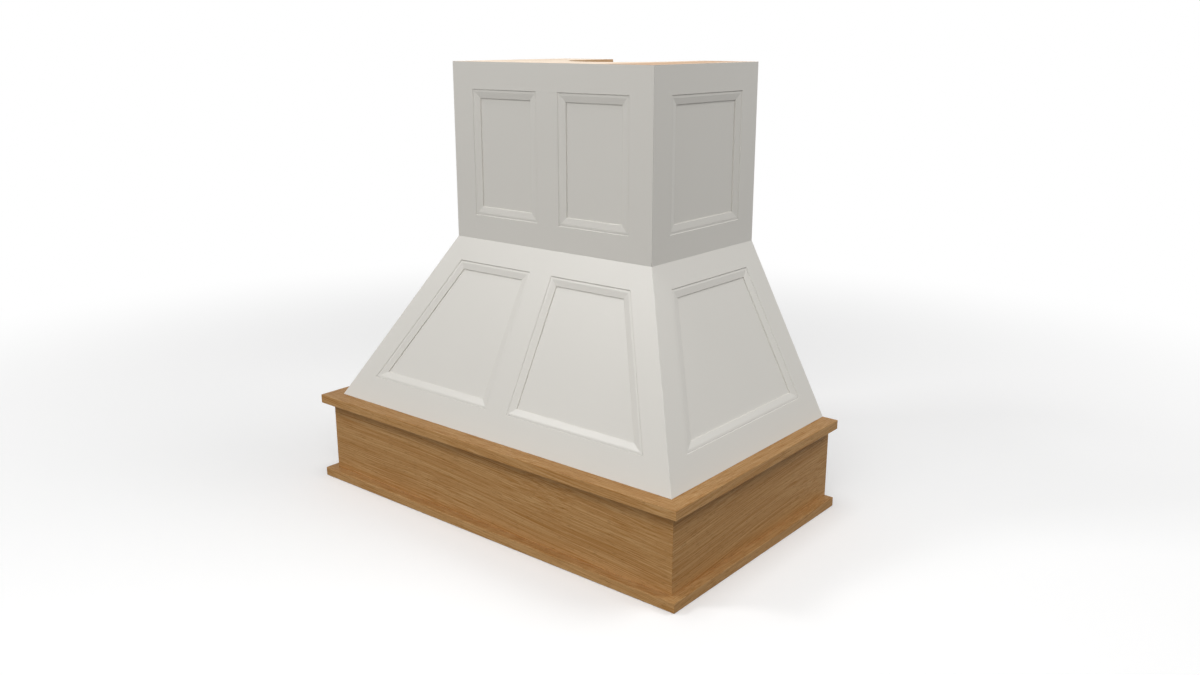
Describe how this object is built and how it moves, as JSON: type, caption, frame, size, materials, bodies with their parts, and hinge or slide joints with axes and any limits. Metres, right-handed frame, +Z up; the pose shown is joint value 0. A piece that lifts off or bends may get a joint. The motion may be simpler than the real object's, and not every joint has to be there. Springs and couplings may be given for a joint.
{
  "type": "range hood cover",
  "caption": "Wooden range hood cover with a stained oak band, a white painted panelled flare and chimney, a duct-notched top board and rails for hanging on a wall.",
  "frame": {"origin": "middle of the underside: halfway across, halfway between the foot moulding's front edge and the wall plane, on the plane that the foot moulding stands on", "axes": "+X to the right as seen from the front, +Y back to the wall, +Z up; the front faces -Y and the wall plane is the rearmost plane"},
  "size_m": [0.9524, 0.5674, 0.8965],
  "materials": {
    "painted_wood": "satin warm-white paint, sprayed",
    "oak": "light brown stain under a satin clear coat, straight grain",
    "raw_maple": "raw sanded pale wood",
    "zinc_steel": "bright zinc plating"
  },
  "bodies": {
    "root": {"apron_corner_blocks": "raw_maple", "apron_front": "oak", "apron_left": "oak", "apron_right": "oak", "chimney_front_bottom_rail": "painted_wood", "chimney_front_left_moulding": "painted_wood", "chimney_front_left_panel": "painted_wood", "chimney_front_left_stile": "painted_wood", "chimney_front_mullion": "painted_wood", "chimney_front_right_moulding": "painted_wood", "chimney_front_right_panel": "painted_wood", "chimney_front_right_stile": "painted_wood", "chimney_front_top_rail": "painted_wood", "chimney_left_back_stile": "painted_wood", "chimney_left_bottom_rail": "painted_wood", "chimney_left_front_stile": "painted_wood", "chimney_left_moulding": "painted_wood", "chimney_left_panel": "painted_wood", "chimney_left_top_rail": "painted_wood", "chimney_right_back_stile": "painted_wood", "chimney_right_bottom_rail": "painted_wood", "chimney_right_front_stile": "painted_wood", "chimney_right_moulding": "painted_wood", "chimney_right_panel": "painted_wood", "chimney_right_top_rail": "painted_wood", "flare_front_bottom_rail": "painted_wood", "flare_front_left_moulding": "painted_wood", "flare_front_left_panel": "painted_wood", "flare_front_left_stile": "painted_wood", "flare_front_mullion": "painted_wood", "flare_front_right_moulding": "painted_wood", "flare_front_right_panel": "painted_wood", "flare_front_right_stile": "painted_wood", "flare_front_top_rail": "painted_wood", "flare_left_back_stile": "painted_wood", "flare_left_bottom_rail": "painted_wood", "flare_left_front_stile": "painted_wood", "flare_left_moulding": "painted_wood", "flare_left_panel": "painted_wood", "flare_left_top_rail": "painted_wood", "flare_right_back_stile": "painted_wood", "flare_right_bottom_rail": "painted_wood", "flare_right_front_stile": "painted_wood", "flare_right_moulding": "painted_wood", "flare_right_panel": "painted_wood", "flare_right_top_rail": "painted_wood", "foot_front": "oak", "foot_left": "oak", "foot_right": "oak", "ledge_front": "oak", "ledge_left": "oak", "ledge_right": "oak", "lower_hanging_rail": "raw_maple", "neck_board": "raw_maple", "neck_cleats": "raw_maple", "sill_cleats": "raw_maple", "top_board": "raw_maple", "top_cleats": "raw_maple", "upper_hanging_rail": "raw_maple", "wood_screws": "zinc_steel"}
  },
  "joints": []
}
